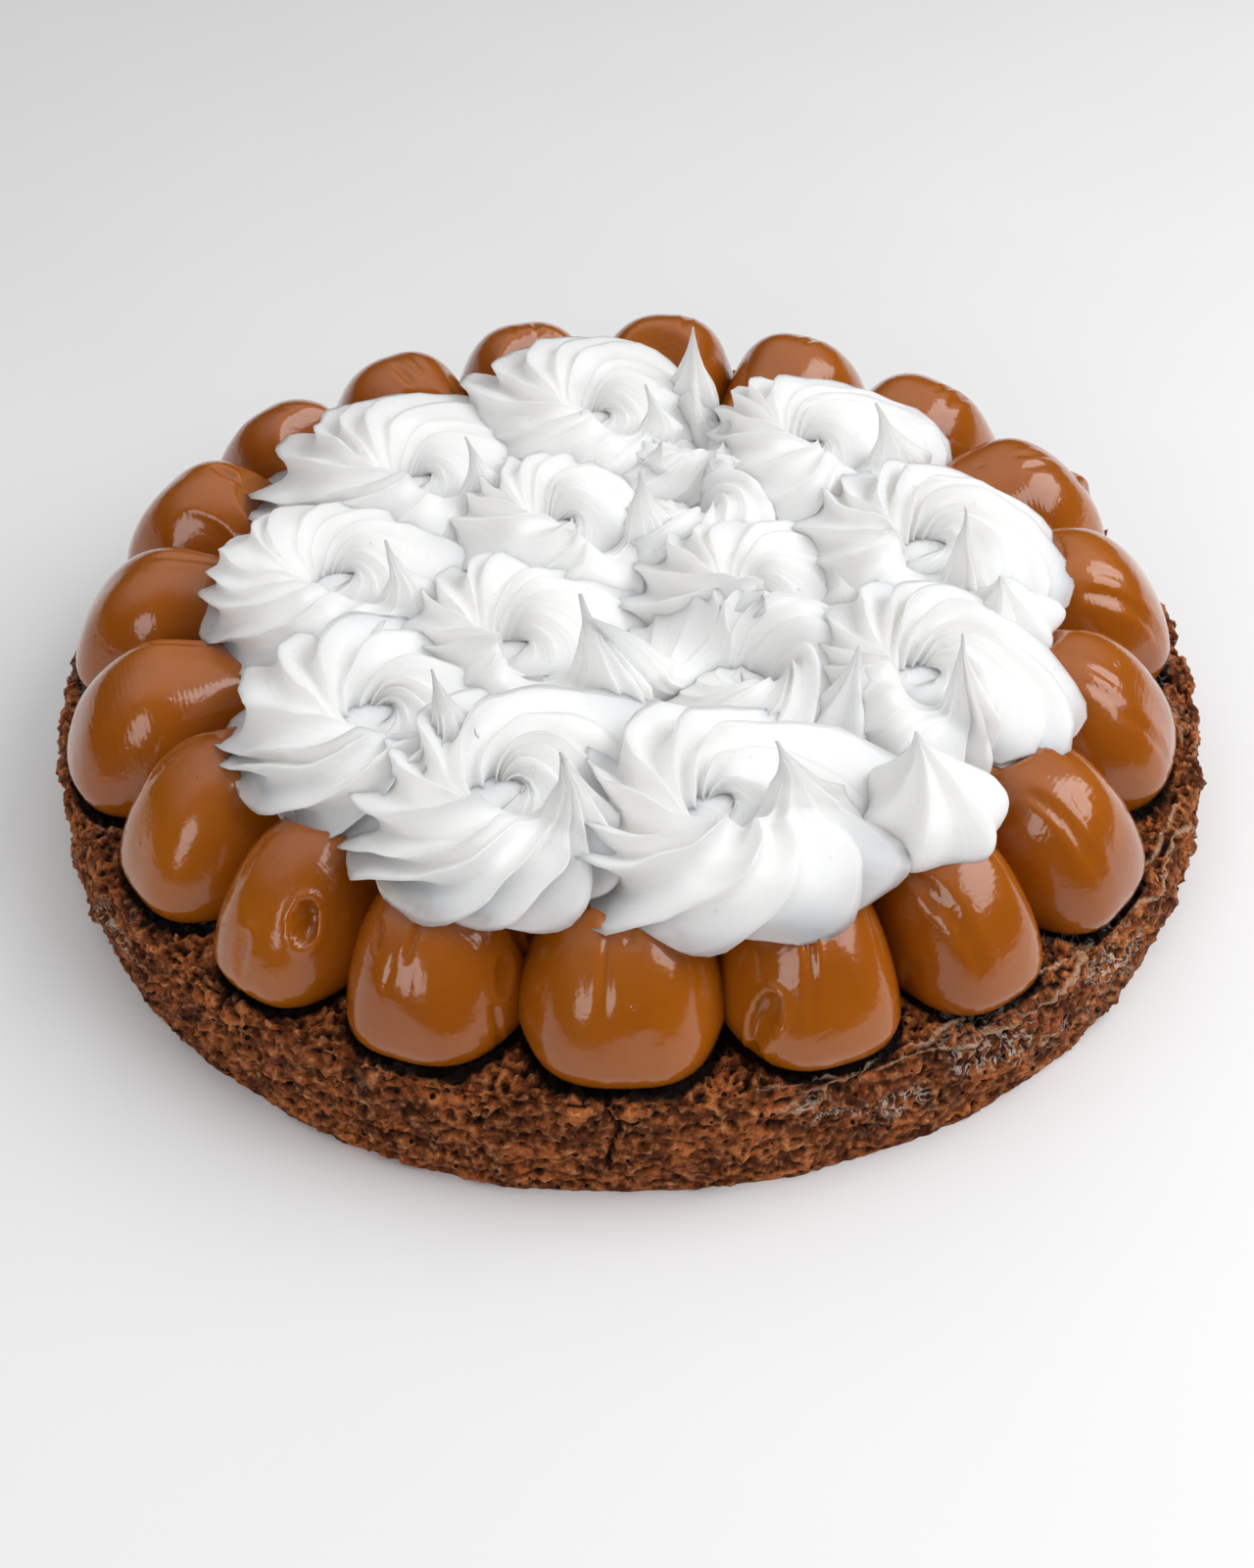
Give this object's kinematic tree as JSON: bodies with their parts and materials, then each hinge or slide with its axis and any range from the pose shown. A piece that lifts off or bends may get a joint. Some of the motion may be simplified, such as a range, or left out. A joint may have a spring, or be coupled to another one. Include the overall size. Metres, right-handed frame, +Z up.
{
  "type": "chocolate marquise cake",
  "caption": "Round chocolate marquise cake: a low brownie disc with a ring of piped milk caramel mounds and meringue swirls piled over their inner ends.",
  "frame": {"origin": "middle of the flat foot of the brownie disc", "axes": "+Z up through the cake, -Y towards the front side seen in the picture, +X to its right"},
  "size_m": [0.2561, 0.2568, 0.077],
  "materials": {
    "brownie": "dark baked crumb, rough and porous, with a thin pale crust in places",
    "caramel": "smooth glossy milk caramel",
    "meringue": "soft satin white meringue"
  },
  "bodies": {
    "root": {"brownie_base": "brownie", "caramel_bed": "caramel", "caramel_mound_01": "caramel", "caramel_mound_02": "caramel", "caramel_mound_03": "caramel", "caramel_mound_04": "caramel", "caramel_mound_05": "caramel", "caramel_mound_06": "caramel", "caramel_mound_07": "caramel", "caramel_mound_08": "caramel", "caramel_mound_09": "caramel", "caramel_mound_10": "caramel", "caramel_mound_11": "caramel", "caramel_mound_12": "caramel", "caramel_mound_13": "caramel", "caramel_mound_14": "caramel", "caramel_mound_15": "caramel", "caramel_mound_16": "caramel", "caramel_mound_17": "caramel", "caramel_mound_18": "caramel", "caramel_mound_19": "caramel", "meringue_swirl_01": "meringue", "meringue_swirl_02": "meringue", "meringue_swirl_03": "meringue", "meringue_swirl_04": "meringue", "meringue_swirl_05": "meringue", "meringue_swirl_06": "meringue", "meringue_swirl_07": "meringue", "meringue_swirl_08": "meringue", "meringue_swirl_09": "meringue", "meringue_swirl_10": "meringue", "meringue_swirl_11": "meringue", "meringue_swirl_12": "meringue", "meringue_swirl_13": "meringue", "meringue_swirl_14": "meringue", "meringue_swirl_15": "meringue", "meringue_drop_01": "meringue", "meringue_drop_02": "meringue", "meringue_drop_03": "meringue", "meringue_drop_04": "meringue"}
  },
  "joints": []
}
